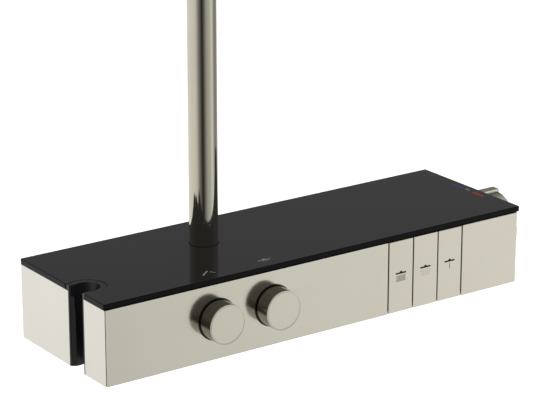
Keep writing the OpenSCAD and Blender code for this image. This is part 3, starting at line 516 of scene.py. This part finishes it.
button_signs = {
    "full_button": ("full_key", 1.4, [(dx, dz) for dx in range(-3, 4) for dz in range(5)]),
    "soft_button": ("soft_key", 0.6, [(dx * 1.5, dz * 1.3) for dx in range(-2, 3) for dz in range(4)]),
    "jet_button": ("jet_key", 1.2, [(0, dz * 0.9) for dz in range(5)]),
}
for source, (body, dash, drops) in button_signs.items():
    low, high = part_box(source)
    x, y = (low.x + high.x) / 2, low.y - INK / 2
    sign = join(head_sign(x, y, 6 * MM, 7 * MM, 1.8 * MM), source + "_head_sign")
    finish_piece(sign, source + "_head_sign", body, ink_black)
    dots = [stroke(x + dx * 1.75 * MM, y, (0.4 - dz * 1.4) * MM, dash * MM, INK, 0.85 * MM)
            for dx, dz in drops]
    finish_piece(join(dots, source + "_spray_sign"), source + "_spray_sign", body,
                 ink_grey)
    print(source, "strokes:", len(drops))

# %% [markdown]
# The glass has a hand shower above its knob, a rain head above the other, and a blue and a red bar
# beside the temperature knob, with a plain mark between them for the comfortable middle.

# %% Signs on the glass
glass_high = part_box("glass_shelf")[1]
z = glass_high.z + INK / 2
left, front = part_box("front_panel")[0].x - 0.35 * MM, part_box("front_panel")[0].y


def on_glass(from_left, from_front):
    return left + from_left * MM, front + from_front * MM


parts = []
x, y = on_glass(128.6, 19.6)
parts.append(stroke(x, y, z, 14.5 * MM, 1.7 * MM, INK, math.radians(40)))
x, y = on_glass(136.6, 18.3)
parts.append(stroke(x, y, z, 6 * MM, 1.2 * MM, INK, math.radians(-50)))
hand_sign = join(parts, "hand_shower_sign")
finish_piece(hand_sign, "hand_shower_sign", "column", ink_silver)

x, y = on_glass(199.5, 18.6)
parts = [stroke(x, y, z, 16 * MM, 1.3 * MM, INK)]
parts.append(stroke(x, y + 1.7 * MM, z, 6 * MM, 2.1 * MM, INK))
pick_faces(parts[1], lambda c, n: n.y > 0.9)
bpy.ops.transform.resize(value=(0.4, 1, 1))
back_to_object()
parts.append(stroke(x, y - 3.0 * MM, z, 9 * MM, 0.6 * MM, INK))
rain_sign = join(parts, "rain_head_sign")
finish_piece(rain_sign, "rain_head_sign", "column", ink_silver)

for name, from_left, near, far, wide, ink in (("cold_bar", 514, 85.5, 102.2, 2.0, ink_blue),
                                              ("hot_bar", 513.5, 49.8, 67.6, 2.8, ink_red),
                                              ("middle_mark", 514.7, 75.0, 81.5, 2.4, ink_grey)):
    x, y = on_glass(from_left, (near + far) / 2)
    bar = stroke(x, y, z, wide * MM, (far - near) * MM, INK)
    pick_edges(bar, lambda a, b: abs(a.x - b.x) < 1e-6 and abs(a.y - b.y) < 1e-6)
    bpy.ops.mesh.bevel(offset=0.8 * MM, segments=4, affect="EDGES")
    back_to_object()
    finish_piece(bar, name, "column", ink)
    print(name, "length mm:", round(far - near, 1))

# %% [markdown]
# ## A seal ring round the pole
# The pole drops through a hole in the glass. A thin black ring keeps water out of the gap and leaves
# a fine dark line at the foot of the pole. It is a flat ring made from a cylinder by insetting both
# caps and bridging the two circles.

# %% A seal ring round the pole
def flat_ring(x, y, bottom, inner, outer, height, vertices=128):
    ring = start(bpy.ops.mesh.primitive_cylinder_add, vertices=vertices, radius=outer, depth=height,
                 location=(x, y, bottom + height / 2))
    pick_faces(ring, lambda c, n: abs(n.z) > 0.9)
    bpy.ops.mesh.inset(thickness=outer - inner)
    bpy.ops.mesh.bridge_edge_loops()
    back_to_object()
    return ring


pole_low, pole_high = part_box("riser_pipe")
pole_x, pole_y = (pole_low.x + pole_high.x) / 2, (pole_low.y + pole_high.y) / 2
pole_radius = (pole_high.x - pole_low.x) / 2
trim = flat_ring(pole_x, pole_y, glass_high.z, pole_radius, pole_radius + 0.7 * MM, 0.3 * MM)
finish_piece(trim, "pole_seal_ring", "column", seal_rubber)
print("seal ring faces:", len(trim.data.polygons))

# %% [markdown]
# ## Silicone nozzles
# Under the rain head, each of the 108 holes holds a small silicone nipple that can be rubbed clean.
# One is modelled as a cone with a bore, then copied to the six rings of the head. Each needs only a
# few dozen faces, because there are so many.

# %% Silicone nozzles
head_x, head_y = 0.0, (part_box("head_shell")[0].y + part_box("head_shell")[1].y) / 2
plate_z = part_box("spray_plate")[0].z
nipple = start(bpy.ops.mesh.primitive_cone_add, vertices=16, radius1=1.15 * MM, radius2=2.0 * MM,
               depth=2.2 * MM, location=(0, 0, plate_z - 1.1 * MM))
pick_faces(nipple, lambda c, n: n.z < -0.9)
bpy.ops.mesh.inset(thickness=0.6 * MM)
bpy.ops.mesh.extrude_region_move(TRANSFORM_OT_translate={"value": (0, 0, 1.6 * MM)})
back_to_object()
rings = [(12, 6), (24, 10), (44, 14), (64, 20), (86, 26), (108, 32)]
nipples = []
for ring_radius, count in rings:
    for k in range(count):
        angle = 2 * math.pi * k / count
        copy = nipple.copy()
        copy.data = nipple.data.copy()
        bpy.context.scene.collection.objects.link(copy)
        copy.location = (head_x + ring_radius * MM * math.cos(angle),
                         head_y + ring_radius * MM * math.sin(angle), 0)
        nipples.append(copy)
bpy.data.objects.remove(nipple)
bpy.ops.object.select_all(action="DESELECT")
for copy in nipples:
    copy.select_set(True)
bpy.context.view_layer.objects.active = nipples[0]
bpy.ops.object.transform_apply(location=True, rotation=True, scale=True)
nozzles = join(nipples, "spray_nipples")
finish_piece(nozzles, "spray_nipples", "swing_arm", nozzle_silicone)
print("nozzles:", sum(count for _, count in rings))

# %% [markdown]
# ## The hose thread
# The outlet under the shelf has a half inch pipe thread, 14 turns to the inch. A small diamond,
# the ridge's section, is swept up a helix by a Screw modifier, and its ends are closed.

# %% The hose thread
outlet_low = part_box("hose_outlet")[0]
outlet_x, outlet_y, outlet_radius = -120 * MM, -70 * MM, 10.4 * MM
pitch = 1.814 * MM
ridge = start(bpy.ops.mesh.primitive_circle_add, vertices=4, radius=0.75 * MM,
              location=(outlet_radius - 0.55 * MM, 0, outlet_low.z + 1.2 * MM),
              rotation=(math.pi / 2, 0, 0))
add_modifier(ridge, "SCREW", axis="Z", angle=2 * math.pi, screw_offset=pitch, iterations=4,
             steps=48, render_steps=48, use_merge_vertices=False)
only(ridge)
bpy.ops.object.mode_set(mode="EDIT")
bpy.ops.mesh.select_mode(type="EDGE")
bpy.ops.mesh.select_all(action="DESELECT")
bpy.ops.mesh.select_non_manifold()
bpy.ops.mesh.edge_face_add()
back_to_object()
ridge.location = (outlet_x, outlet_y, 0)
bpy.ops.object.transform_apply(location=True, rotation=True, scale=True)
finish_piece(ridge, "hose_thread", "column", cast_brass)
print("thread pitch mm:", round(pitch / MM, 3))

# %% [markdown]
# ## The studio
# The column hangs on a wall, so the floor is about a metre below it. A white bowl, a floor whose
# rim curves up, fills the background, as in a studio. What the metal mirrors matters
# more: a studio hangs white sheets at the sides and leaves a dark gap round the camera, which draws
# the dark line down the pole. Those sheets are painted on the world as a ramp round the compass, so
# the bowl is left out of reflections.

# %% The cove
def cove_bowl(radius, floor_z):
    bpy.ops.object.select_all(action="DESELECT")
    bpy.ops.mesh.primitive_circle_add(vertices=96, radius=radius, fill_type="NGON",
                                      location=(0, 0, floor_z))
    bowl = bpy.context.object
    bpy.ops.object.transform_apply(location=True, rotation=True, scale=True)
    for k in range(6):
        pick_edges(bowl, lambda a, b: min(a.z, b.z) > floor_z + (k * 0.3) ** 2 - 0.001
                   and min(a.xy.length, b.xy.length) > radius - 0.001)
        bpy.ops.mesh.extrude_region_move(
            TRANSFORM_OT_translate={"value": (0, 0, ((k + 1) * 0.3) ** 2 - (k * 0.3) ** 2)})
        bpy.ops.transform.resize(value=(1.03, 1.03, 1))
        back_to_object()
    pick_edges(bowl, lambda a, b: min(a.z, b.z) > floor_z + 1.8 ** 2 - 0.001)
    bpy.ops.mesh.extrude_region_move(TRANSFORM_OT_translate={"value": (0, 0, 9)})
    back_to_object()
    only(bowl)
    bpy.ops.object.shade_smooth()
    return bowl


cove = cove_bowl(9, -0.95)
cove.name = "studio_cove"
white_paper, tree, shader = new_material("white_paper_cove")
fibre = node(tree, "TexNoise", {"Vector": object_coordinates(tree), "Scale": 40.0})
tone = node(tree, "ValToRGB", {"Fac": fibre.outputs["Fac"]})
tone.color_ramp.elements[0].color = linear("f6f6f6")
tone.color_ramp.elements[1].color = linear("fbfbfb")
tree.links.new(tone.outputs["Color"], shader.inputs["Base Color"])
tree.links.new(tone.outputs["Color"], shader.inputs["Emission Color"])
shader.inputs["Emission Strength"].default_value = 0.75
shader.inputs["Roughness"].default_value = 0.9
cove.data.materials.append(white_paper)
cove.visible_glossy = False
cove.visible_shadow = False
cove.visible_diffuse = False
print("cove faces:", len(cove.data.polygons))

# %% [markdown]
# The ramp runs from straight behind the camera's line, round by its left, to the camera, and on
# round by its right. Each stop is an angle in degrees and a brightness. Above the sheets the studio
# is dim, dimmest over the camera, and lights up again straight overhead. Below the sheets the paper
# floor runs on, even and fairly light.

# %% What the metal mirrors
world = bpy.data.worlds.new("studio_sheets")
bpy.context.scene.world = world
world.use_nodes = True
tree = world.node_tree
sky = tree.nodes["Background"]
way = tree.nodes.new("ShaderNodeTexCoord").outputs["Generated"]
turn = node(tree, "Mapping", {"Vector": way, "Rotation": (0, 0, math.radians(35.07))})
parts = node(tree, "SeparateXYZ", {"Vector": turn.outputs[0]})
ahead = node(tree, "Math", {0: parts.outputs["Y"], 1: -1.0}, operation="MULTIPLY")
angle = node(tree, "Math", {0: parts.outputs["X"], 1: ahead.outputs[0]}, operation="ARCTAN2")
compass = node(tree, "MapRange", {"Value": angle.outputs[0], "From Min": -math.pi, "From Max": math.pi})
sheets = node(tree, "ValToRGB", {"Fac": compass.outputs["Result"]})
stops = [(-180, 0.85), (-150, 1.0), (-118, 1.12), (-90, 1.05), (-62, 1.0), (-45, 0.85), (-30, 0.42),
         (-14, 0.17), (1, 0.02), (14, 0.12), (26, 0.34), (42, 0.58), (58, 0.68), (65, 0.72), (70, 0.86),
         (82, 1.02), (92, 0.85), (104, 0.38), (130, 0.34), (180, 0.85)]
ramp = sheets.color_ramp
while len(ramp.elements) < len(stops):
    ramp.elements.new(0.5)
for element, (degrees, level) in zip(ramp.elements, stops):
    element.position = (degrees + 180) / 360
for element, (degrees, level) in zip(ramp.elements, stops):
    element.color = (level, level, level * 0.985, 1)
dim = node(tree, "MapRange", {"Value": ahead.outputs[0], "From Min": -0.5, "From Max": 0.6,
                              "To Min": 0.23, "To Max": 0.15})
height = node(tree, "MapRange", {"Value": parts.outputs["Z"], "From Min": 0.68, "From Max": 0.97,
                                 "To Min": dim.outputs["Result"], "To Max": 1.2})
over = node(tree, "MapRange", {"Value": parts.outputs["Z"], "From Min": -0.08, "From Max": 0.12})
light = node(tree, "Mix", {"Factor": over.outputs["Result"]}, data_type="RGBA")
tree.links.new(sheets.outputs["Color"], light.inputs["A"])
tree.links.new(height.outputs["Result"], light.inputs["B"])
under = node(tree, "MapRange", {"Value": parts.outputs["Z"], "From Min": -0.39, "From Max": -0.45})
paper = node(tree, "Mix", {"Factor": under.outputs["Result"], "A": light.outputs["Result"],
                           "B": (0.6, 0.6, 0.59, 1)}, data_type="RGBA")
tree.links.new(paper.outputs["Result"], sky.inputs["Color"])
sky.inputs["Strength"].default_value = 1.0
print("stops round the compass:", len(stops))

# %% Two soft boxes
for name, place, size, power in (("soft_box_over", (-0.6, -1.2, 2.6), 1.6, 26),
                                 ("soft_box_side", (-2.4, 0.4, 1.4), 1.2, 12)):
    bpy.ops.object.select_all(action="DESELECT")
    bpy.ops.object.light_add(type="AREA", location=place)
    lamp = bpy.context.object
    lamp.name = name
    lamp.data.size = size
    lamp.data.energy = power
    lamp.visible_glossy = False
    aim = -lamp.location.normalized()
    lamp.rotation_euler = aim.to_track_quat("-Z", "Y").to_euler()
    print(name, power, "W")
